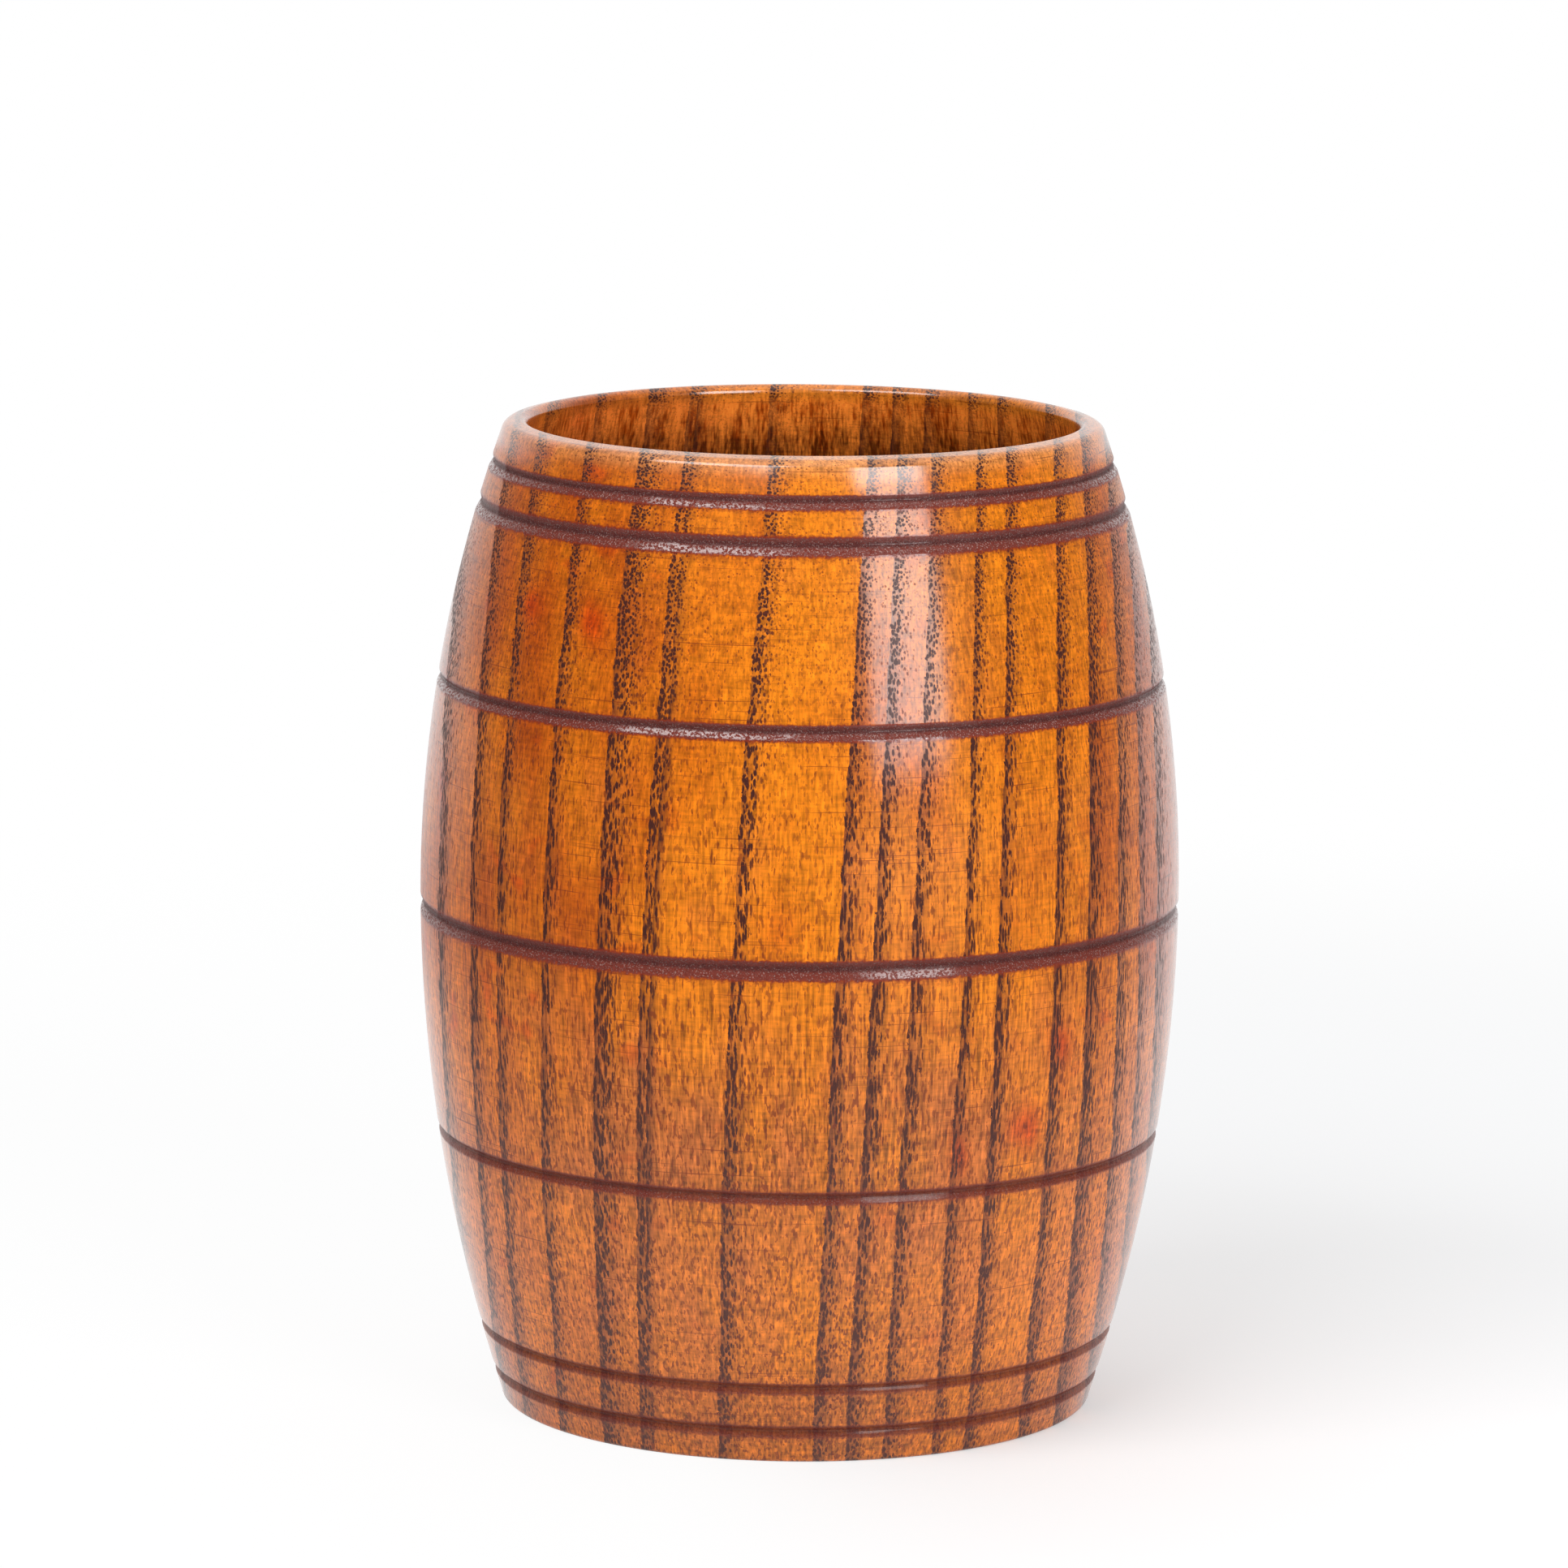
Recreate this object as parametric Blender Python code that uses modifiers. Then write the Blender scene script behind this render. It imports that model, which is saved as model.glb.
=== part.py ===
# Turned wooden mug without a handle. A barrel-shaped wall, bored from one block of upright-grain wood and
# ringed by burnt grooves, is closed by a round bottom glued into a rebate under it.
# Metres, +Z up. The origin is the middle of the foot, on the surface that the mug stands on.

import math

import bpy

# Outside of the wall
HEIGHT = 0.105
RIM_RADIUS = 0.0314
BELLY_RADIUS = 0.04025
BELLY_HEIGHT = 0.055
FOOT_RADIUS = 0.0313

# Wall thickness
LIP_WALL = 0.0026
BELLY_WALL = 0.006

# Rounded edges
LIP_ROUND = 0.0013
FOOT_ROUND = 0.0006
DISC_EDGE = 0.0004

# Burnt grooves: two under the lip, three round the belly, two over the foot
LIP_GROOVE_DROPS = (0.0043, 0.0086)
BAND_DROP = 0.0271
BAND_RISE = 0.0296
FOOT_GROOVE_RISES = (0.0084, 0.0035)
GROOVE_WIDTH = 0.0016
GROOVE_FLOOR = 0.0005
GROOVE_DEPTH = 0.0005

# Bottom and the rebate that it seats in
FOOT_LAND = 0.003
SHOULDER_WIDTH = 0.002
DISC_THICKNESS = 0.006
DISC_RECESS = 0.0015
GLUE_GAP = 0.0003

# Fineness of the turned surface
TURN_STEPS = 48
WALL_STEP = 0.007
LIP_STEPS = 6
FOOT_STEPS = 2
EDGE_SEGMENTS = 2
MERGE_DISTANCE = 0.00001

# Sizes that follow from those above
SEAT_RADIUS = FOOT_RADIUS - FOOT_LAND
BORE_RADIUS = SEAT_RADIUS - SHOULDER_WIDTH
SHOULDER_HEIGHT = DISC_RECESS + DISC_THICKNESS + GLUE_GAP
LIP_BASE = HEIGHT - LIP_ROUND


def barrel(z, bottom, belly_radius, top):
    """Radius at height z of a wall that swells from bottom and top, each (radius, height), to the belly."""
    end_radius, end_height = top if z > BELLY_HEIGHT else bottom
    share = (z - BELLY_HEIGHT) / (end_height - BELLY_HEIGHT)
    return belly_radius + (end_radius - belly_radius) * share**2


def outer_radius(z):
    return barrel(z, (FOOT_RADIUS, 0.0), BELLY_RADIUS, (RIM_RADIUS, HEIGHT))


def inner_radius(z):
    bore = (BORE_RADIUS, SHOULDER_HEIGHT)
    mouth = (RIM_RADIUS - LIP_WALL, HEIGHT)
    return barrel(z, bore, BELLY_RADIUS - BELLY_WALL, mouth)


def wall_points(radius_at, start, end):
    """Points along a wall from one height to another, both ends included."""
    count = max(1, round(abs(end - start) / WALL_STEP))
    heights = [start + (end - start) * i / count for i in range(count + 1)]
    return [(radius_at(z), z) for z in heights]


def round_points(centre, half_width, half_height, start, end, count):
    """Points along a rounded edge from one angle to another, both ends included."""
    angles = [math.radians(start + (end - start) * i / count) for i in range(count + 1)]
    return [(centre[0] + half_width * math.cos(a), centre[1] + half_height * math.sin(a)) for a in angles]


def groove_heights():
    """Heights of the grooves' middles, from the lip down."""
    upper_band = HEIGHT - BAND_DROP
    bands = [upper_band, (upper_band + BAND_RISE) / 2, BAND_RISE]
    return [HEIGHT - drop for drop in LIP_GROOVE_DROPS] + bands + list(FOOT_GROOVE_RISES)


def outer_side():
    """Outside of the wall with its grooves, from under the lip down to the foot's rounded edge."""
    points = []
    start = LIP_BASE
    for middle in groove_heights():
        points += wall_points(outer_radius, start, middle + GROOVE_WIDTH / 2)
        for z in (middle + GROOVE_FLOOR / 2, middle - GROOVE_FLOOR / 2):
            points.append((outer_radius(z) - GROOVE_DEPTH, z))
        start = middle - GROOVE_WIDTH / 2
    return points + wall_points(outer_radius, start, FOOT_ROUND)


def body_profile():
    """Closed section of the wall: down the outside, under the foot, up the rebate and the inside, over the lip."""
    foot_centre = (outer_radius(FOOT_ROUND) - FOOT_ROUND, FOOT_ROUND)
    lip_outside = outer_radius(LIP_BASE)
    lip_inside = inner_radius(LIP_BASE)
    lip_centre = ((lip_outside + lip_inside) / 2, LIP_BASE)
    half_lip = (lip_outside - lip_inside) / 2

    points = outer_side()
    points += round_points(foot_centre, FOOT_ROUND, FOOT_ROUND, 0, -90, FOOT_STEPS)[1:]
    points += [(SEAT_RADIUS, 0.0), (SEAT_RADIUS, SHOULDER_HEIGHT)]
    points += wall_points(inner_radius, SHOULDER_HEIGHT, LIP_BASE)
    points += round_points(lip_centre, half_lip, LIP_ROUND, 180, 0, LIP_STEPS)[1:-1]
    return points


def lacquered_wood(name, colour, roughness):
    material = bpy.data.materials.new(name)
    material.use_nodes = True
    shader = material.node_tree.nodes["Principled BSDF"]
    shader.inputs["Base Color"].default_value = (*colour, 1.0)
    shader.inputs["Roughness"].default_value = roughness
    shader.inputs["Metallic"].default_value = 0.0
    return material


def make_body(collection):
    points = body_profile()
    mesh = bpy.data.meshes.new("mug_body")
    edges = [(i, (i + 1) % len(points)) for i in range(len(points))]
    mesh.from_pydata([(r, 0.0, z) for r, z in points], edges, [])
    body = bpy.data.objects.new("mug_body", mesh)
    collection.objects.link(body)

    turn = body.modifiers.new("turn", "SCREW")
    turn.axis = "Z"
    turn.angle = math.tau
    turn.steps = TURN_STEPS
    turn.render_steps = TURN_STEPS
    turn.use_merge_vertices = True
    turn.merge_threshold = MERGE_DISTANCE
    turn.use_smooth_shade = True
    mesh.materials.append(lacquered_wood("lacquered_wall", (0.47, 0.19, 0.045), 0.35))
    return body


def make_bottom(collection, body):
    bpy.ops.mesh.primitive_cylinder_add(
        vertices=TURN_STEPS,
        radius=SEAT_RADIUS - GLUE_GAP,
        depth=DISC_THICKNESS,
        location=(0.0, 0.0, DISC_RECESS + DISC_THICKNESS / 2),
    )
    disc = bpy.context.object
    disc.name = disc.data.name = "bottom_disc"
    for home in disc.users_collection:
        home.objects.unlink(disc)
    collection.objects.link(disc)
    disc.parent = body

    edge = disc.modifiers.new("eased_edge", "BEVEL")
    edge.width = DISC_EDGE
    edge.segments = EDGE_SEGMENTS
    edge.limit_method = "ANGLE"
    edge.angle_limit = math.radians(60)
    disc.data.shade_smooth()
    disc.data.set_sharp_from_angle(angle=math.radians(40))
    disc.data.materials.append(lacquered_wood("lacquered_bottom", (0.40, 0.17, 0.045), 0.4))
    return disc


def main():
    for old in list(bpy.data.objects):
        bpy.data.objects.remove(old, do_unlink=True)
    collection = bpy.data.collections.new("wooden_mug")
    bpy.context.scene.collection.children.link(collection)
    body = make_body(collection)
    make_bottom(collection, body)


main()
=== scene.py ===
import math

import bpy
from mathutils import Matrix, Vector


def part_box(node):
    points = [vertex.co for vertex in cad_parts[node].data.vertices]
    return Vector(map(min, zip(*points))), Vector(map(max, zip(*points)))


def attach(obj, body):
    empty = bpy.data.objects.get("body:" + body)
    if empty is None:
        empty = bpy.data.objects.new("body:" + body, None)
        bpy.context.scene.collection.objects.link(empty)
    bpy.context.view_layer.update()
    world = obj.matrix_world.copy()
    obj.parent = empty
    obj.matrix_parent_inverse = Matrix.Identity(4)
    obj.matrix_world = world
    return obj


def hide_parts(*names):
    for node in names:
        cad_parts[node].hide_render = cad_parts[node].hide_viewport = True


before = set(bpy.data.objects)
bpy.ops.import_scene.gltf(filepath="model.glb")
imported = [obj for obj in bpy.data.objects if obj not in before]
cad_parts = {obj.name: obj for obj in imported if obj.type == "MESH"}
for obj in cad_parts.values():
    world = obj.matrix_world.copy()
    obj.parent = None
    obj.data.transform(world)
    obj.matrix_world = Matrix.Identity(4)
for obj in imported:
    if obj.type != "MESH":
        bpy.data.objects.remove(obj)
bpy.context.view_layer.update()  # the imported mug: a turned wall and the bottom let into it
wallLow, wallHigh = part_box("mug_body")
discLow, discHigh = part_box("bottom_disc")
print("frame loaded:", ", ".join(sorted(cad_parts)))

mm = 1000  # in a metre
white = (1.0, 1.0, 1.0, 1.0)


def deselectAll():
    if bpy.context.mode != "OBJECT":
        bpy.ops.object.mode_set(mode="OBJECT")
    bpy.ops.object.select_all(action="DESELECT")


def screen(red, green, blue):
    # a colour as it looks on a screen, 0 to 255, turned into the linear one that shaders take
    parts = [v / 255 for v in (red, green, blue)]
    return tuple(v / 12.92 if v <= 0.04045 else ((v + 0.055) / 1.055) ** 2.4 for v in parts) + (1.0,)


# Shader maths

class Shade:
    # wraps one output of a node, so that shader maths reads as plain sums
    def __init__(self, tree, made=None, output=0):
        self.tree = tree
        self.made = made
        self.output = output

    def out(self, output):
        return Shade(self.tree, self.made, output)

    def feed(self, made, socket):
        self.tree.links.new(self.made.outputs[self.output], made.inputs[socket])

    def node(self, kind, settings=None, sockets=None, output=0):
        made = self.tree.nodes.new("ShaderNode" + kind)
        for key, value in (settings or {}).items():
            if key == "stops":
                made.color_ramp.interpolation = "CONSTANT"
                made.color_ramp.elements.remove(made.color_ramp.elements[1])
                for index, (place, tint) in enumerate(value):
                    stop = made.color_ramp.elements.new(place) if index else made.color_ramp.elements[0]
                    stop.color = tint
            else:
                setattr(made, key, value)
        for key, value in (sockets or {}).items():
            if isinstance(value, Shade):
                value.feed(made, key)
            else:
                made.inputs[key].default_value = value
        return Shade(self.tree, made, output)

    def sum(self, operation, *values):
        return self.node("Math", {"operation": operation}, dict(enumerate(values)))

    def __add__(self, other):
        return self.sum("ADD", self, other)

    def __sub__(self, other):
        return self.sum("SUBTRACT", self, other)

    def __rsub__(self, other):
        return self.sum("SUBTRACT", other, self)

    def __mul__(self, other):
        return self.sum("MULTIPLY", self, other)

    def __truediv__(self, other):
        return self.sum("DIVIDE", self, other)

    def __pow__(self, other):
        return self.sum("POWER", self, other)

    def __lt__(self, other):
        return self.sum("LESS_THAN", self, other)

    __radd__ = __add__
    __rmul__ = __mul__

    def most(self, other):
        return self.sum("MAXIMUM", self, other)

    def least(self, other):
        return self.sum("MINIMUM", self, other)

    def fade(self, rate):
        # 1 at zero, dying away as this value grows
        return self.sum("EXPONENT", self * -rate)

    def ease(self, low, high):
        # 0 at low and 1 at high, with soft ends
        return self.node(
            "MapRange",
            {"interpolation_type": "SMOOTHSTEP"},
            {"Value": self, "From Min": low, "From Max": high},
        )

    def mix(self, first, second):
        # colours, with this value as the share of the second
        return self.node("Mix", {"data_type": "RGBA"}, {0: self, 6: first, 7: second}, output=2)

    def spot(self, x, y, z):
        return self.node("CombineXYZ", {}, {0: x, 1: y, 2: z})

    def parts(self):
        # the three numbers of a place or a colour
        split = self.node("SeparateXYZ", {}, {0: self})
        return [split.out(i) for i in range(3)]

    def ramp(self, stops):
        return self.node("ValToRGB", {"stops": stops}, {"Fac": self}).parts()

    def mark(self, name):
        # a value that the mesh carries
        return self.node("Attribute", {"attribute_name": name}).out("Fac")

    def cloud(self, detail):
        # soft noise of unit size at this place, from -1 to 1
        noise = self.node("TexNoise", {}, {"Vector": self, "Scale": 1.0, "Detail": detail, "Roughness": 0.55})
        return noise * 2 - 1


# Colours of the wood

woodTones = {
    "orange": screen(236, 131, 20),
    "red": screen(182, 74, 8),
    "dull": screen(210, 114, 50),
    "blotch": screen(206, 62, 6),
    "early": screen(122, 62, 40),
    "pore": screen(116, 45, 18),
    "vessel": screen(67, 33, 28),
    "fringe": screen(132, 44, 20),
    # painted highlight on the lip
    "paintedLipHighlight": screen(240, 176, 112),
    "burnt": screen(110, 56, 51),
    "charred": screen(62, 32, 33),
    # painted glints in the grooves
    "paintedGlint": screen(186, 150, 142),
}


# Growth rings

grain = {
    "middle": 53.0,  # mm up, where the rings were laid out
    "reach": 47.0,  # mm from there to either end
    "lean": 2.1,  # mm that the rings lean over that reach, at the middle of the block
    "leanLoss": 0.0018,  # and how much of that is lost away from it, per square mm
    "bow": 0.49,  # mm that they bow over it
    "drawIn": 0.065,  # share by which they draw together at both ends
    "wander": 0.3,  # mm to either side, slowly
    "waver": 0.3,  # and quickly
    "ragged": 0.22,  # mm, along the edge of the early wood
    "lineGaps": (-0.7, 0.1),  # how broken the dark line is where a ring starts
    "lowerHalf": (36, 58),  # mm up, between which the lower half ends, duller with painted haze and darker with painted shade
    "span": 84.0,  # mm from the first ring to the end of the last
    "widest": 4.0,  # mm, the most that early wood may fade over
    # place in mm, darkness and width in mm of the early wood, then for the late wood
    # the share of pores, the redness and the gloss
    "rings": [
        (-42.0, 0.80, 1.0, 0.8, 0.6, 0.92), (-38.0, 1.00, 1.2, 0.8, 0.55, 0.52),
        (-34.4, 1.00, 1.2, 0.9, 0.55, 0.05), (-31.4, 0.90, 1.3, 0.9, 0.55, 0.05),
        (-26.5, 1.00, 1.3, 0.9, 0.55, 0.05), (-20.9, 1.00, 2.3, 1.0, 0.45, 0.05),
        (-16.3, 1.00, 1.4, 0.9, 0.35, 0.05), (-15.1, 0.70, 0.7, 0.9, 0.3, 0.08),
        (-7.2, 1.00, 1.9, 1.0, 0.05, 0.08), (3.8, 0.95, 1.6, 1.0, 0.25, 0.62),
        (7.5, 1.00, 1.5, 0.9, 0.3, 0.64), (11.3, 0.95, 1.6, 0.8, 0.25, 0.55),
        (16.5, 1.00, 1.3, 0.8, 0.15, 0.22), (20.2, 1.00, 1.4, 0.8, 0.15, 0.18),
        (26.1, 1.00, 1.3, 0.9, 0.25, 0.18), (29.8, 0.95, 1.4, 1.0, 0.45, 0.18),
        (33.0, 0.90, 1.2, 0.9, 0.4, 0.40), (35.2, 0.85, 1.0, 0.9, 0.6, 0.74),
        (37.2, 0.95, 1.1, 0.9, 0.7, 0.92), (40.5, 0.90, 1.2, 0.6, 0.7, 0.94),
    ],
}

# noise that lies along the grain: mm across it, mm along it, detail
grainNoise = {
    "wander": (18, 38, 1),
    "waver": (3, 6, 1),
    "ragged": (0.5, 1.4, 2),
    "fray": (0.25, 0.5, 1),
    "speck": (0.33, 1.2, 1),
    "fibre": (0.3, 6, 2),
    "ray": (3, 0.35, 2),
    "broad": (11, 26, 1),
    "patch": (5, 11, 2),
    "fleck": (1.2, 0.8, 2),
    "blotch": (5, 4, 1),
    "gaps": (9, 9, 2),
    "streak": (0.3, 70, 1),
    "band": (2.5, 30, 2),
}

# noise that lies round the mug, as the tool went: mm round it, mm up it, detail
turnedNoise = {
    "marks": (14, 0.16, 1),
    "torn": (0.36, 0.3, 1),
    "grit": (0.16, 0.16, 1),
    "lacquer": (0.3, 0.24, 1),
}


def ringAt(across):
    # what the growth ring at this place across the block is like
    first = grain["rings"][0][0]
    span = grain["span"]
    share = (across - first) / span
    edges = []
    habits = []
    for place, dark, width, pores, redness, gloss in grain["rings"]:
        start = (place - first) / span
        edges.append((start, (start, dark, width / grain["widest"], 1.0)))
        habits.append((start, (pores, redness, gloss, 1.0)))
    edge, dark, width = share.ramp(edges)
    past = ((share - edge) * span).most(0)
    early = dark * ((past / width / grain["widest"]) ** 2).fade(1)
    return early, past, share.ramp(habits)


class Block:
    # a point of the solid block, in mm, and what the wood is like there
    def __init__(self, tree, turned, grooved):
        self.start = Shade(tree)
        self.x, self.y, self.z = [part * mm for part in self.start.node("TexCoord").out("Object").parts()]
        self.height = self.z
        if turned:
            self.y, self.z = self.z, self.y
        self.grooved = grooved
        self.bore = self.start.mark("bore") if grooved else 0.0
        self.rise = (self.z - grain["middle"]) / grain["reach"]
        self.lipward = self.rise.most(0)
        self.footward = self.rise.least(0)
        self.low = 1 - self.z.ease(*grain["lowerHalf"])
        self.fibre = self.noise("fibre")
        self.gaps = self.noise("gaps").ease(*grain["lineGaps"])
        self.across = self.acrossRings()
        ragged = self.noise("ragged") * grain["ragged"]
        self.early, self.past, (self.pores, self.redness, self.gloss) = ringAt(self.across + ragged)

    def noise(self, name, shift=0.0):
        width, length, detail = grainNoise[name]
        return self.start.spot(self.x / width, self.y / width, self.z / length + shift).cloud(detail)

    def roundNoise(self, name, shift=0.0):
        width, length, detail = turnedNoise[name]
        return self.start.spot(self.x / width, self.y / width, self.height / length + shift).cloud(detail)

    def acrossRings(self):
        # where the point lies across the rings
        lean = grain["lean"] - self.x * self.x * grain["leanLoss"]
        across = self.x - self.rise * lean - self.rise * self.rise * grain["bow"]
        across = across / (1 - self.rise * self.rise * grain["drawIn"])
        across = across + self.noise("wander") * grain["wander"]
        return across + self.noise("waver") * grain["waver"]


# Pores

poreLook = {
    "apart": 0.29,  # mm from one to the next
    "length": 1.8,  # mm up the grain, at the belly
    "lipCrowding": 45.0,  # how much shorter they get towards the lip
    "footCrowding": 9.0,  # and towards the foot
    "fray": 0.4,  # how far their edges are ragged
    # radius, as a share of the room for one: at least, at random, and in early wood
    "radius": 0.24,
    "radiusSpread": 0.2,
    "earlyRadius": 0.30,
    "edge": (0.7, 1.1),  # shares of the radius between which one ends
    # chance of one in late wood: anywhere, close after the early wood, and towards the lip
    "chance": 0.17,
    "afterChance": 0.5,
    "afterFade": 0.4,  # per mm
    "lipChance": 0.1,
    "earlyChance": 1.1,
    # darkness: at least, at random, and in early wood
    "dark": 0.55,
    "darkSpread": 0.25,
    "earlyDark": 0.5,
    "footPale": 0.15,  # how much of it is lost towards the foot
    # fine dashes between them
    "speckEdge": (0.16, 0.26),
    "speck": 0.6,
    "afterSpeck": 0.35,
    "speckFade": 0.2,  # per mm
    "lipLoss": 0.45,  # how many fewer there are towards the lip
    "speckDark": 0.75,
    "lowSpeckDark": 0.25,
}


def findPores(block):
    # short dashes along the grain, nearly dots towards both ends, ragged at their edges
    look = poreLook
    apart = look["apart"]
    fray = block.noise("fray") * look["fray"]
    crowding = block.lipward**3 * look["lipCrowding"]
    crowding = crowding + block.footward * block.footward * block.footward * look["footCrowding"]
    place = block.start.spot(
        block.x / apart + fray,
        block.y / apart - fray,
        block.z / look["length"] + crowding,
    )
    cells = block.start.node("TexVoronoi", {}, {"Vector": place, "Scale": 1.0})
    luck, size, depth = cells.out("Color").parts()
    middle = cells.out("Position").parts()[0] - fray
    early, past, (pores, _, _) = ringAt(block.across + middle * apart - block.x)

    radius = early * look["earlyRadius"] + size * look["radiusSpread"] + look["radius"]
    chance = past.fade(look["afterFade"]) * look["afterChance"] + block.lipward * look["lipChance"]
    chance = early * look["earlyChance"] + pores * (chance + look["chance"])
    dark = depth * look["darkSpread"] + early * look["earlyDark"] + look["dark"]
    block.pore = (1 - (cells / radius).ease(*look["edge"])) * (luck < chance) * dark.least(1)
    block.poreEarly = early

    speck = block.noise("speck", crowding).ease(*look["speckEdge"]) * block.pores
    share = block.past.fade(look["speckFade"]) * look["afterSpeck"] + look["speck"]
    block.speck = speck * share * (1 - block.lipward * look["lipLoss"])


def darkenPores(block):
    # laid over the tones, with the dark line of each ring
    look = poreLook
    colour = block.start.node("VectorMath", {"operation": "SCALE"}, {0: block.colour, "Scale": block.shade})
    colour = block.line.mix(colour, woodTones["vessel"])
    speckDark = block.low * look["lowSpeckDark"] + look["speckDark"]
    colour = (block.speck * speckDark).mix(colour, woodTones["pore"])
    deep = (block.poreEarly * 2).least(block.footward * look["footPale"] + 1)
    block.colour = block.pore.mix(colour, deep.mix(woodTones["pore"], woodTones["vessel"]))


# Tones of the wood

tones = {
    "redSpread": 0.4,
    "lowRed": 0.2,
    "dullSpread": 0.6,
    "lowPaintedHaze": 0.5,
    "blotchEdge": (0.25, 0.5),
    "blotch": 0.8,
    # red stains on the front: place across and up, half width and half height in mm, strength
    "stains": [
        (23.3, 35.5, 1.5, 2.6, 1.0), (16.4, 33.8, 1.1, 2.4, 1.0), (27.2, 44.0, 1.2, 2.5, 1.0),
        (-28.0, 88.5, 1.6, 1.6, 1.0), (-21.4, 87.6, 1.3, 2.0, 1.0), (-2.2, 57.6, 2.4, 3.0, 0.35),
    ],
    "stainWander": 2,  # mm
    "stainFront": (-10, -20),  # mm towards the front, between which they come in
    # early wood
    "early": 0.36,
    "earlyFleck": 0.7,
    "earlyFoot": 0.3,
    "boreEarlyLoss": 0.5,
    # the dark line where a ring starts
    "lineFade": 2.2,  # per mm
    "lineEndLoss": 0.5,  # how much of it is lost towards both ends
    # how light it is: plain wood, and what noise and height do to it
    "plain": 0.88,
    "fibre": 0.72,
    "lowFibre": 0.25,
    "ray": 0.31,
    "fleck": 0.3,
    "lowPaintedShade": 0.185,  # painted shade: how much darker the lower half is
    "sideLight": 0.00027,  # and how much of that is lost away from the middle, per square mm
    "footBand": ((4, 12), (22, 31)),  # mm up, between which the wood over the foot is paler
    "footLight": 0.11,
}


def tintWood(block):
    # orange, red and dull late wood, dark early wood, and how light each is, with painted shade and painted
    # haze over the lower half
    broad = block.noise("broad")
    patch = block.noise("patch")
    fleck = block.noise("fleck")
    red = broad * tones["redSpread"] + patch * tones["redSpread"] + block.redness
    red = (red - block.low * tones["lowRed"]).ease(0, 1)
    colour = red.mix(woodTones["orange"], woodTones["red"])
    # painted haze: the dull tone comes in over the lower half, standing in for the floor's reflection
    dull = patch * tones["dullSpread"] - broad * tones["dullSpread"] + block.low * tones["lowPaintedHaze"]
    colour = dull.ease(0, 1).mix(colour, woodTones["dull"])

    blotch = block.noise("blotch").ease(*tones["blotchEdge"]) * block.redness
    for stainX, stainZ, halfWidth, halfHeight, strength in tones["stains"] if block.grooved else []:
        offX = (block.x + patch * tones["stainWander"] - stainX) / halfWidth
        offZ = (block.z - stainZ) / halfHeight
        stain = (offX * offX + offZ * offZ).fade(1) * block.y.ease(*tones["stainFront"])
        blotch = blotch.most(stain * strength)
    colour = (blotch * tones["blotch"]).mix(colour, woodTones["blotch"])

    share = fleck * tones["earlyFleck"] - block.footward * tones["earlyFoot"] + tones["early"]
    share = block.early * share * (1 - block.bore * tones["boreEarlyLoss"])
    block.colour = share.mix(colour, woodTones["early"])
    line = block.past.fade(tones["lineFade"]) * block.gaps
    block.line = line * (1 - block.rise * block.rise * tones["lineEndLoss"])

    rising, falling = tones["footBand"]
    overFoot = block.z.ease(*rising) * (1 - block.z.ease(*falling))
    shade = block.fibre * (block.low * tones["lowFibre"] + tones["fibre"])
    shade = shade + block.noise("ray") * tones["ray"] + fleck * tones["fleck"]
    # painted shade: the lower half is darker, less so at the sides
    shade = shade - block.low * (tones["lowPaintedShade"] - block.x * block.x * tones["sideLight"])
    block.shade = shade + overFoot * tones["footLight"] + tones["plain"]


# Lip and bore

lipAndBore = {
    "lip": (100, 103),  # mm up, where painted light makes the wood lighter under the lip
    "underLipPaintedLight": 0.06,
    "glossPaintedShade": 0.2,  # painted shade: glossy rings are darker under the lip, where the lamps' highlights fall on them
    "glossPaintedShadeFrom": (70, 88),
    "paintedLipHighlight": (102.6, 104.4),  # mm up, where a pale painted highlight lies on the lip
    "lipHighlightShare": 0.1,
    "frontLipHighlight": 0.3,  # and more of it towards the front
    "frontFrom": (0, -30),
    # the bore
    "streak": 0.7,
    "band": 0.75,
    "borePaintedShade": 0.37,
    "boreEarlyDark": 0.15,
    "boreTop": (97, 104),  # mm up, over which the bore's painted shade gives way to painted light at its top
    "darkest": 0.2,
    "boreDull": 0.6,
    "redStreak": (0.1, -0.5),
    "borePoreLoss": 0.7,
    "boreLineFade": 2.4,  # per mm
    "boreLine": 0.45,
    "boreLineGaps": 0.55,
}


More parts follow.
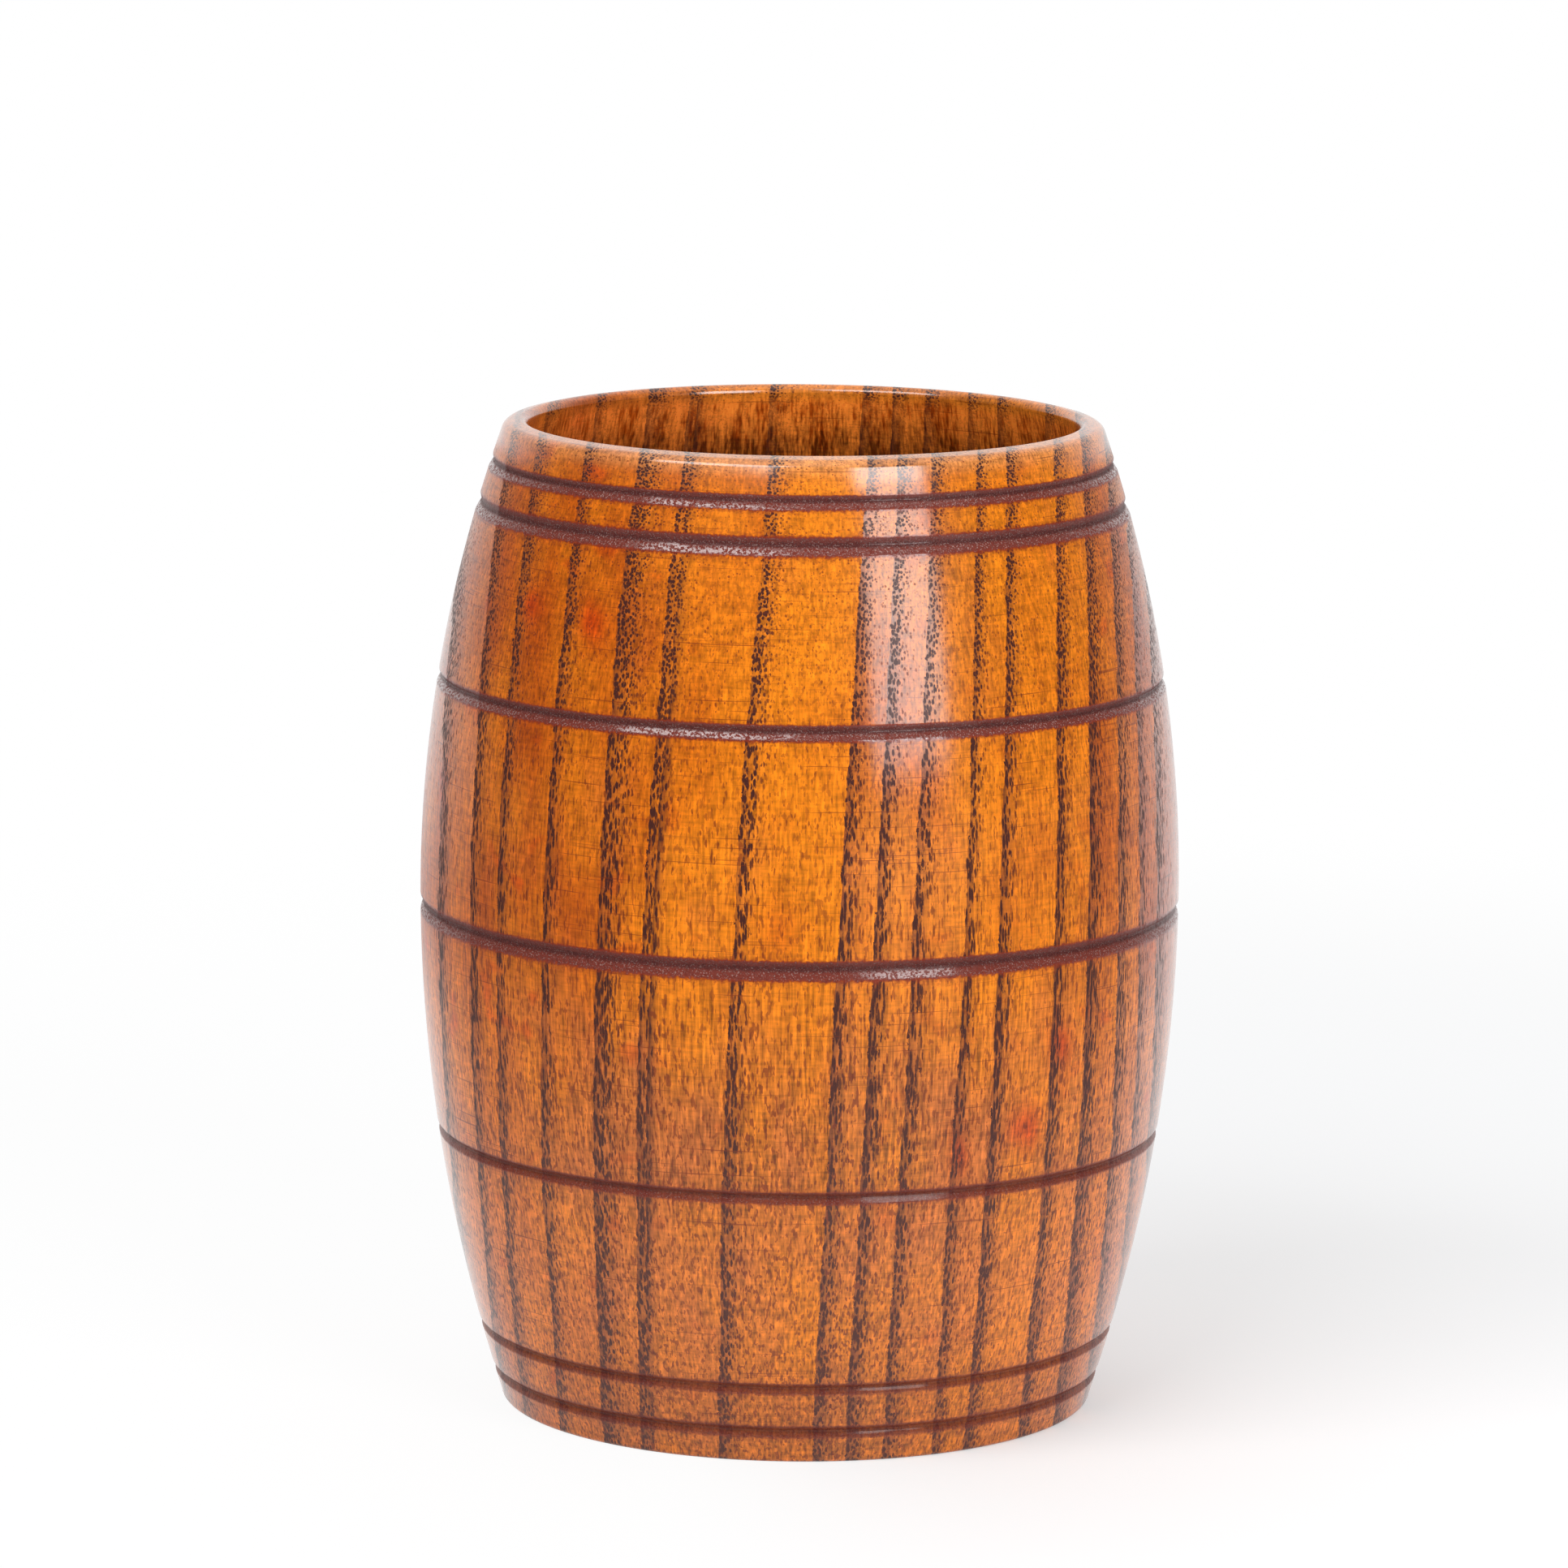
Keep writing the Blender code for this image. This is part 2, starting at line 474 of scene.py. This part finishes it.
def paintLightOnLipAndBore(block):
    # painted light under the lip, a pale painted highlight on it, painted shade on the glossy rings, and in
    # the bore painted shade that turns to painted light at its top, with long streaks
    height = block.height
    # painted light under the lip
    shade = block.shade + height.ease(*lipAndBore["lip"]) * lipAndBore["underLipPaintedLight"]
    # painted shade on the glossy rings, under the lamps' highlights
    shade = shade - block.gloss * height.ease(*lipAndBore["glossPaintedShadeFrom"]) * lipAndBore["glossPaintedShade"]
    # painted highlight: the lip is paler, most of all at the front
    frontLipHighlight = block.y.ease(*lipAndBore["frontFrom"]) * lipAndBore["frontLipHighlight"] + lipAndBore["lipHighlightShare"]
    colour = (height.ease(*lipAndBore["paintedLipHighlight"]) * frontLipHighlight).mix(block.colour, woodTones["paintedLipHighlight"])

    streak = block.noise("streak") * lipAndBore["streak"] + block.noise("band") * lipAndBore["band"]
    # painted shade in the bore, turning to painted light at its top
    boreShade = streak - block.early * lipAndBore["boreEarlyDark"]
    boreShade = boreShade + height.ease(*lipAndBore["boreTop"]) - lipAndBore["borePaintedShade"]
    block.shade = (shade + block.bore * boreShade).most(lipAndBore["darkest"])
    colour = (block.bore * lipAndBore["boreDull"]).mix(colour, woodTones["dull"])
    block.colour = (block.bore * streak.ease(*lipAndBore["redStreak"])).mix(colour, woodTones["red"])
    block.pore = block.pore * (1 - block.bore * lipAndBore["borePoreLoss"])
    boreLine = block.bore * block.past.fade(lipAndBore["boreLineFade"])
    block.line = block.line.most(boreLine * (block.gaps * lipAndBore["boreLineGaps"] + lipAndBore["boreLine"]))


# Turning marks and lacquer

lacquer = {
    "hairlineShift": 40,  # sets the hairlines apart from the other turning marks
    "hairlineEdge": (0.32, 0.55),
    "hairline": 0.75,
    # relief, and how deep its unit is in m
    "fibreRelief": 0.10,
    "markRelief": 0.12,
    "poreRelief": 0.5,
    "speckRelief": 0.2,
    "earlyRelief": 0.3,
    "reliefDepth": 0.00004,
    # gloss, and the roughness of the wood under it
    "crossGloss": 0.2,  # where the grain runs across, on the bottom
    "poreGlossLoss": 0.7,
    "rough": 0.44,
    "markRough": 0.03,
    "poreRough": 0.15,
    "glossRough": 0.1,
    "specular": 0.1,
    "coatRough": 0.15,
    "coatIndex": 1.7,  # of refraction
    # gloss of the wall, ring by ring: full from these heights up and from this far right, in mm
    "upper": (50, 78),
    "upperGloss": 0.75,
    "anyGloss": 0.25,
    "right": (24, 34),
    "lip": (100.5, 103.4),  # mm up, where every ring is polished
    "lower": (15, 62),  # mm up, where the lower half's even gloss ends
    "lowerGloss": 0.46,
    "limb": (0.7, 0.97),  # how far round to either side, as a squared sine
    "limbGloss": 0.4,
}


def lacquerWood(block):
    # turning marks run round the mug, some of them dark hairlines
    marks = block.roundNoise("marks")
    hairline = block.roundNoise("marks", lacquer["hairlineShift"]).ease(*lacquer["hairlineEdge"])
    block.colour = (hairline * lacquer["hairline"]).mix(block.colour, woodTones["pore"])
    relief = block.fibre * lacquer["fibreRelief"] + marks * lacquer["markRelief"]
    relief = relief - block.pore * lacquer["poreRelief"] - block.speck * lacquer["speckRelief"]
    block.relief = relief - block.early * lacquer["earlyRelief"]

    gloss = block.gloss if block.grooved else lacquer["crossGloss"]
    block.gloss = gloss * (1 - block.pore * lacquer["poreGlossLoss"])
    rough = marks * lacquer["markRough"] + block.pore * lacquer["poreRough"]
    block.rough = rough - block.gloss * lacquer["glossRough"] + lacquer["rough"]


def polishWall(block):
    # ring by ring above, evenly below and at both sides, and fully on the lip
    height = block.height
    upper = height.ease(*lacquer["upper"]) * lacquer["upperGloss"] + lacquer["anyGloss"]
    gloss = block.gloss * upper.most(block.x.ease(*lacquer["right"]))
    gloss = gloss.most(height.ease(*lacquer["lip"]))
    squareX = block.x * block.x
    limb = (squareX / (squareX + block.y * block.y)).ease(*lacquer["limb"]) * block.low
    gloss = gloss + (1 - height.ease(*lacquer["lower"])) * lacquer["lowerGloss"]
    block.gloss = (gloss + limb * lacquer["limbGloss"]).least(1)


# Burnt grooves

burning = {
    "torn": 0.2,  # how ragged the burnt edges are
    "upper": (10, 60),  # mm up, between which the burning gets stronger
    "fringeEdge": (0.02, 0.3),
    "fringe": 0.5,
    "upperFringe": 0.5,
    "charEdge": (0.2, 0.42),
    "char": 0.6,
    "upperChar": 0.3,
    "deepEdge": (0.55, 1.0),
    "deep": 0.6,
    "gritEdge": (-0.25, 0.75),
    # the sill is a groove's lower side, with rough lacquer and pale painted glints on it
    "sillEdge": (0.1, 0.4),
    "sillFringe": 0.35,
    "lacquerEdge": (-0.1, 0.1),
    "lacquerFrom": (20, 75),
    "paintedGlintEdge": (0.12, 0.36),
    "paintedGlintFrom": (5, 85),
    "paintedGlint": 0.06,
    "upperPaintedGlint": 0.26,
    "relief": 1.8,
    "sillRelief": 3,
    "rough": 0.2,
    "glossLoss": 0.6,
}


def burnGrooves(block):
    # a red fringe, a charred floor with grit in it, and a sill with rough lacquer, with pale painted glints
    # over both
    look = burning
    lower = block.start.mark("sill")
    torn = block.roundNoise("torn")
    grit = block.roundNoise("grit")
    upper = block.height.ease(*look["upper"])
    edge = block.start.mark("burn") + torn * look["torn"]
    fringe = edge.ease(*look["fringeEdge"]) * (upper * look["upperFringe"] + look["fringe"])
    colour = fringe.mix(block.colour, woodTones["fringe"])
    char = edge.ease(*look["charEdge"])
    deep = edge.ease(*look["deepEdge"]) * look["deep"]
    burnt = (grit + deep).ease(*look["gritEdge"]).mix(woodTones["burnt"], woodTones["charred"])
    colour = (char * (upper * look["upperChar"] + look["char"])).mix(colour, burnt)

    sill = char * lower.ease(*look["sillEdge"])
    colour = (sill * upper * look["sillFringe"]).mix(colour, woodTones["fringe"])
    # painted glints: pale grains over the charred floor and sill, more on the upper grooves
    paintedGlint = grit.ease(*look["paintedGlintEdge"]) * (char + sill)
    paintedGlint = paintedGlint * (block.height.ease(*look["paintedGlintFrom"]) * look["upperPaintedGlint"] + look["paintedGlint"])
    block.colour = paintedGlint.mix(colour, woodTones["paintedGlint"])
    block.relief = block.relief + char * torn * (lower * look["sillRelief"] + look["relief"])
    drops = block.roundNoise("lacquer").ease(*look["lacquerEdge"]) * block.height.ease(*look["lacquerFrom"])
    block.gloss = block.gloss * (1 - char * look["glossLoss"]) + sill * drops
    block.rough = block.rough + char * look["rough"]


def woodFinish(name, turned, grooved):
    # lacquered wood, ring-porous, as a solid block; turned lays the grain along Y in place of Z
    material = bpy.data.materials.new(name)
    material.use_nodes = True
    tree = material.node_tree
    shader = tree.nodes["Principled BSDF"]
    block = Block(tree, turned, grooved)
    findPores(block)
    tintWood(block)
    if grooved:
        paintLightOnLipAndBore(block)
    darkenPores(block)
    lacquerWood(block)
    if grooved:
        polishWall(block)
        burnGrooves(block)

    heights = {"Height": block.relief, "Strength": 1.0, "Distance": lacquer["reliefDepth"]}
    block.start.node("Bump", {}, heights).feed(shader, "Normal")
    block.colour.feed(shader, "Base Color")
    block.rough.feed(shader, "Roughness")
    block.gloss.feed(shader, "Coat Weight")
    shader.inputs["Specular IOR Level"].default_value = lacquer["specular"]
    shader.inputs["Coat Roughness"].default_value = lacquer["coatRough"]
    shader.inputs["Coat IOR"].default_value = lacquer["coatIndex"]
    return material


# The turned wall

wall = {
    "name": "turned_wall",
    "height": wallHigh.z,
    "belly": (wallHigh.x - wallLow.x) / 2,
    "bellyHeight": 0.055,
    "rim": 0.0314,  # radius outside, at the lip
    "foot": 0.0313,  # and at the foot
    "lipWall": 0.0026,  # thickness at the lip
    "bellyWall": 0.006,
    "lipRound": 0.0010,  # height of the lip's outer round
    "lipReach": 0.0008,  # and how far in it comes
    "lipEdge": 0.0009,  # radius of its inner round
    "lipFall": 0.0002,  # how much lower the top is outside
    "lipPoints": 14,
    "footRound": 0.0006,
    "footPoints": 6,
    "glueGap": 0.0003,
    "shoulder": 0.002,  # width of the ledge over the bottom
    "turns": 300,
    "step": 0.0012,  # from point to point up the wall
    "weld": 0.000004,
    "smoothAngle": 55,
    # burnt grooves from the lip down: height of the deepest line, reach above and below it, depth, in mm
    "grooves": [
        (100.75, 0.55, 0.9, 0.32), (96.4, 0.8, 1.1, 0.36), (77.9, 0.65, 0.95, 0.38), (53.75, 0.8, 1.2, 0.38),
        (29.6, 0.6, 0.75, 0.36), (8.4, 0.6, 0.7, 0.34), (3.5, 0.65, 0.75, 0.36),
    ],
    "groovePoints": 16,
    "grooveMargin": 1.2,  # reaches of a groove that get its close points
    "sillBend": 1.3,
    "burnReach": 1.35,  # reaches of a groove over which the burning fades
    "boreDepth": 0.001,  # in from the outside, past which a point is on the inner side
    "unevenness": 0.00016,
    "rippleSize": 0.0018,
}


def swell(z, bottom, belly, top):
    # radius of a barrel that swells from two ends, each (radius, height), to its belly
    endRadius, endHeight = top if z > wall["bellyHeight"] else bottom
    share = (z - wall["bellyHeight"]) / (endHeight - wall["bellyHeight"])
    return belly + (endRadius - belly) * share**2


def outside(z):
    return swell(z, (wall["foot"], 0.0), wall["belly"], (wall["rim"], wall["height"]))


def inside(z):
    shoulderHeight = discHigh.z + wall["glueGap"]
    bore = discHigh.x + wall["glueGap"] - wall["shoulder"]
    mouth = wall["rim"] - wall["lipWall"]
    return swell(z, (bore, shoulderHeight), wall["belly"] - wall["bellyWall"], (mouth, wall["height"]))


def grooveOffset(z):
    # how far a height is from the nearest groove's deepest line: -1 at its upper edge, 1 at its lower edge
    offsets = []
    for middle, above, below, depth in wall["grooves"]:
        off = middle - z * mm
        offsets.append((off / (below if off > 0 else above), depth / mm))
    return min(offsets, key=lambda pair: abs(pair[0]))


def grooveDepth(z):
    # a round upper side and a long, straighter sill below
    off, depth = grooveOffset(z)
    if abs(off) >= 1:
        return 0.0
    return depth * (0.5 + 0.5 * math.cos(math.pi * off) if off < 0 else (1 - off) ** wall["sillBend"])


def surfaceMarks(spot):
    # how burnt a point is, from 1 deep in a groove to 0 a little past it
    # then how far down the sill it is, and whether it is in the bore
    if spot.z < wall["footRound"]:
        return 0.0, 0.0, 0.0
    if math.hypot(spot.x, spot.y) < outside(spot.z) - wall["boreDepth"]:
        return 0.0, 0.0, 1.0 if spot.z < wall["height"] - wall["lipRound"] else 0.0
    off, _ = grooveOffset(spot.z)
    return max(0.0, 1 - abs(off) / wall["burnReach"]), min(1.0, max(0.0, off)), 0.0


def spread(start, end, step):
    count = max(1, math.ceil(abs(end - start) / step))
    return [start + (end - start) * i / count for i in range(count + 1)]


def quarterTurn(count):
    # angles along a rounded edge, its first end left out
    return [math.pi / 2 * i / count for i in range(1, count + 1)]


def outerLine(top, bottom):
    # heights down the outside, closer together in and near the grooves
    heights = spread(top, bottom, wall["step"])
    for middle, above, below, _ in wall["grooves"]:
        low = (middle - wall["grooveMargin"] * below) / mm
        high = (middle + wall["grooveMargin"] * above) / mm
        heights = [z for z in heights if not low <= z <= high]
        heights += spread(high, low, (high - low) / wall["groovePoints"])
    heights = sorted((z for z in set(heights) if bottom <= z <= top), reverse=True)
    return [(outside(z) - grooveDepth(z), z) for z in heights]


def wallProfile():
    # down the outside, under the foot, up the rebate and the bore, over the lip
    top = wall["height"]
    lipBase = top - wall["lipRound"]
    footRound = wall["footRound"]
    points = outerLine(lipBase, footRound)
    footCentre = outside(footRound) - footRound
    for turn in quarterTurn(wall["footPoints"]):
        points.append((footCentre + footRound * math.cos(turn), footRound * (1 - math.sin(turn))))
    seat = discHigh.x + wall["glueGap"]
    shoulderHeight = discHigh.z + wall["glueGap"]
    points += [(seat, 0.0), (seat, shoulderHeight)]
    edge = wall["lipEdge"]
    points += [(inside(z), z) for z in spread(shoulderHeight, top - edge, wall["step"])]

    # the lip: a small round inside, a top that falls slightly outwards, and a longer round outside
    mouth = inside(top - edge)
    for turn in quarterTurn(wall["lipPoints"]):
        points.append((mouth + edge * (1 - math.cos(turn)), top - edge * (1 - math.sin(turn))))
    for turn in reversed(quarterTurn(wall["lipPoints"])):
        z = lipBase + (wall["lipRound"] - wall["lipFall"]) * math.sin(turn)
        points.append((outside(z) - wall["lipReach"] * (1 - math.cos(turn)), z))
    return points


def turnProfile(name, points, turns):
    # a single point is extruded along the section, which is then spun round the Z axis
    deselectAll()
    bpy.ops.mesh.primitive_plane_add(size=1 / mm, location=(points[0][0], 0.0, points[0][1]))
    piece = bpy.context.object
    piece.name = piece.data.name = name
    bpy.ops.object.transform_apply(location=True, rotation=True, scale=True)
    bpy.ops.object.mode_set(mode="EDIT")
    bpy.ops.mesh.select_all(action="SELECT")
    bpy.ops.mesh.merge(type="CENTER")
    loop = points + points[:1]
    for (fromRadius, fromZ), (toRadius, toZ) in zip(loop, loop[1:]):
        step = (toRadius - fromRadius, 0.0, toZ - fromZ)
        bpy.ops.mesh.extrude_region_move(TRANSFORM_OT_translate={"value": step})
    bpy.ops.mesh.select_all(action="SELECT")
    bpy.ops.mesh.spin(steps=turns, angle=math.tau, center=(0, 0, 0), axis=(0, 0, 1))
    bpy.ops.mesh.select_all(action="SELECT")
    bpy.ops.mesh.remove_doubles(threshold=wall["weld"])
    bpy.ops.mesh.normals_make_consistent(inside=False)
    bpy.ops.object.mode_set(mode="OBJECT")
    return piece


def makeWall():
    piece = turnProfile(wall["name"], wallProfile(), wall["turns"])
    mesh = piece.data
    marks = [surfaceMarks(vertex.co) for vertex in mesh.vertices]
    grooved = piece.vertex_groups.new(name="grooves")
    for index, (burnt, _, _) in enumerate(marks):
        if burnt > 0:
            grooved.add([index], burnt, "REPLACE")
    for name, values in zip(("burn", "sill", "bore"), zip(*marks)):
        mesh.attributes.new(name, "FLOAT", "POINT").data.foreach_set("value", values)

    # the burnt cuts are a little uneven
    ripple = bpy.data.textures.new("grooveRipple", "CLOUDS")
    ripple.noise_scale = wall["rippleSize"]
    uneven = piece.modifiers.new("uneven", "DISPLACE")
    uneven.texture = ripple
    uneven.texture_coords = "LOCAL"
    uneven.vertex_group = "grooves"
    uneven.strength = wall["unevenness"]
    bpy.ops.object.modifier_apply(modifier="uneven")
    bpy.ops.object.shade_smooth_by_angle(angle=math.radians(wall["smoothAngle"]))
    mesh.materials.append(woodFinish("lacqueredWall", turned=False, grooved=True))
    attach(piece, "root")
    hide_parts("mug_body")
    print("wall turned:", len(mesh.polygons), "faces")


# The bottom

bottom = {
    "name": "let_in_bottom",
    "sides": 192,
    "edge": 0.0004,
    "edgeSteps": 3,
    "dishInset": 0.004,
    "dishDepth": 0.0004,
    "dishSteps": 4,
    "flat": 0.99,  # how far a face's normal has to point up or down
    "smoothAngle": 40,
}


def selectFlat(piece, sides):
    # in edit mode, the flat faces that look up (1) or down (-1)
    bpy.ops.mesh.select_all(action="DESELECT")
    bpy.ops.object.mode_set(mode="OBJECT")
    for face in piece.data.polygons:
        face.select = any(face.normal.z * side > bottom["flat"] for side in sides)
    bpy.ops.object.mode_set(mode="EDIT")


def makeBottom():
    deselectAll()
    thickness = discHigh.z - discLow.z
    bpy.ops.mesh.primitive_cylinder_add(
        vertices=bottom["sides"],
        radius=discHigh.x,
        depth=thickness,
        location=(0.0, 0.0, discLow.z + thickness / 2),
    )
    piece = bpy.context.object
    piece.name = piece.data.name = bottom["name"]
    bpy.ops.object.transform_apply(location=True, rotation=True, scale=True)
    bpy.ops.object.mode_set(mode="EDIT")
    bpy.ops.mesh.select_mode(type="FACE")
    selectFlat(piece, (1, -1))
    bpy.ops.mesh.bevel(offset=bottom["edge"], segments=bottom["edgeSteps"], affect="EDGES")

    # both faces are turned slightly hollow
    for side in (1, -1):
        selectFlat(piece, (side,))
        for _ in range(bottom["dishSteps"]):
            bpy.ops.mesh.inset(thickness=bottom["dishInset"])
            sink = -side * bottom["dishDepth"] / bottom["dishSteps"]
            bpy.ops.transform.translate(value=(0.0, 0.0, sink))
    bpy.ops.object.mode_set(mode="OBJECT")
    bpy.ops.object.shade_smooth_by_angle(angle=math.radians(bottom["smoothAngle"]))
    piece.data.materials.append(woodFinish("lacqueredBottom", turned=True, grooved=False))
    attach(piece, "root")
    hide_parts("bottom_disc")
    print("bottom made:", len(piece.data.polygons), "faces")


# Floor, light and camera

studio = {
    "floorSize": 8.0,
    "floorNear": 0.13,  # m from the mug, where the floor starts to turn plain white
    "floorFar": 0.36,  # and where it is
    "floorColour": (0.975, 0.987, 1.0, 1.0),
    "floorBounce": (0.85, 0.85, 0.85, 1.0),  # what the mug gets back from it
    "floorGlow": 0.36,  # share of plain white near the mug, so that its shadow stays light
    "shadowFrom": (-0.015, 0.03),  # m across, over which the shadow comes in from the lit side
    "shadowLeft": 0.15,  # share of it that is left on that side
    "behind": 1.0,  # brightness of the white sweep behind the mug
    "behindFrom": (0.15, 0.85),  # how far round to the back it comes in
    "above": 0.87,  # of the pale ceiling
    "aboveFrom": (0.55, 0.95),
    "front": 0.11,  # and of the dim room in front of it
    "lampAim": 0.05,  # m up the mug
    "key": {"side": -38, "up": 46, "far": 1.1, "size": (0.85, 0.4), "power": 5.8},
    "strip": {"side": 34, "up": 22, "far": 1.0, "size": (0.42, 0.55), "power": 5.2},
}


def makeFloor():
    deselectAll()
    bpy.ops.mesh.primitive_plane_add(size=studio["floorSize"], location=(0.0, 0.0, 0.0))
    floor = bpy.context.object
    floor.name = "pale_floor"
    material = bpy.data.materials.new("paleFloor")
    material.use_nodes = True
    tree = material.node_tree
    tree.nodes.remove(tree.nodes["Principled BSDF"])
    start = Shade(tree)
    place = start.node("TexCoord").out("Object")
    away = start.node("VectorMath", {"operation": "LENGTH"}, {0: place}, output="Value")
    rays = start.node("LightPath")
    seen = rays.out("Is Camera Ray").most(rays.out("Is Glossy Ray")).most(rays.out("Is Transmission Ray"))
    paint = start.node("BsdfDiffuse", {}, {"Color": seen.mix(studio["floorBounce"], studio["floorColour"])})
    glow = start.node("Emission", {}, {"Color": white, "Strength": 1.0})
    far = away.ease(studio["floorNear"], studio["floorFar"])
    unlit = place.parts()[0].ease(*studio["shadowFrom"])
    shaded = unlit * (1 - studio["shadowLeft"]) + studio["shadowLeft"]
    share = (1 - (1 - far) * shaded * (1 - studio["floorGlow"])) * seen
    cover = start.node("MixShader", {}, {0: share, 1: paint, 2: glow})
    cover.feed(tree.nodes["Material Output"], "Surface")
    floor.data.materials.append(material)


def makeWorld():
    world = bpy.data.worlds.new("studio")
    bpy.context.scene.world = world
    world.use_nodes = True
    tree = world.node_tree
    start = Shade(tree)
    _, towardBack, towardTop = start.node("TexCoord").out("Generated").parts()
    seen = start.node("LightPath").out("Is Camera Ray")
    behind = towardBack.ease(*studio["behindFrom"]) * studio["behind"]
    above = towardTop.ease(*studio["aboveFrom"]) * studio["above"]
    level = behind.most(above).most(studio["front"]).most(seen)
    background = tree.nodes["Background"]
    background.inputs["Color"].default_value = white
    level.feed(background, "Strength")


def makeLamp(name, look):
    side = math.radians(look["side"])
    up = math.radians(look["up"])
    lamp = bpy.data.lights.new(name, "AREA")
    lamp.shape = "RECTANGLE"
    lamp.size, lamp.size_y = look["size"]
    lamp.energy = look["power"]
    holder = bpy.data.objects.new(name, lamp)
    bpy.context.collection.objects.link(holder)
    flat = look["far"] * math.cos(up)
    top = look["far"] * math.sin(up) + studio["lampAim"]
    holder.location = (flat * math.sin(side), -flat * math.cos(side), top)
    holder.rotation_euler = (math.pi / 2 - up, 0.0, side)


photoView = {
    "far": 0.8781,  # m in front of the mug
    "up": 0.2170,
    "down": 9.758,  # degrees
    "turn": 0.114,
    "roll": 0.476,
    "lens": 192.9,  # mm
    "sensor": 36.0,
}


def makeCamera():
    camera = bpy.data.cameras.new("photoView")
    camera.sensor_width = photoView["sensor"]
    camera.lens = photoView["lens"]
    holder = bpy.data.objects.new("photoView", camera)
    bpy.context.collection.objects.link(holder)
    place = Matrix.Translation((0.0, -photoView["far"], photoView["up"]))
    turn = Matrix.Rotation(math.radians(photoView["turn"]), 4, "Z")
    tilt = Matrix.Rotation(math.radians(90 - photoView["down"]), 4, "X")
    roll = Matrix.Rotation(math.radians(photoView["roll"]), 4, "Z")
    holder.matrix_world = place @ turn @ tilt @ roll
    bpy.context.scene.camera = holder


makeCamera()
makeWorld()
makeLamp("keyLamp", studio["key"])
makeLamp("stripLamp", studio["strip"])
makeFloor()
print("studio set")
makeWall()
makeBottom()
bpy.context.scene.view_settings.view_transform = "Standard"
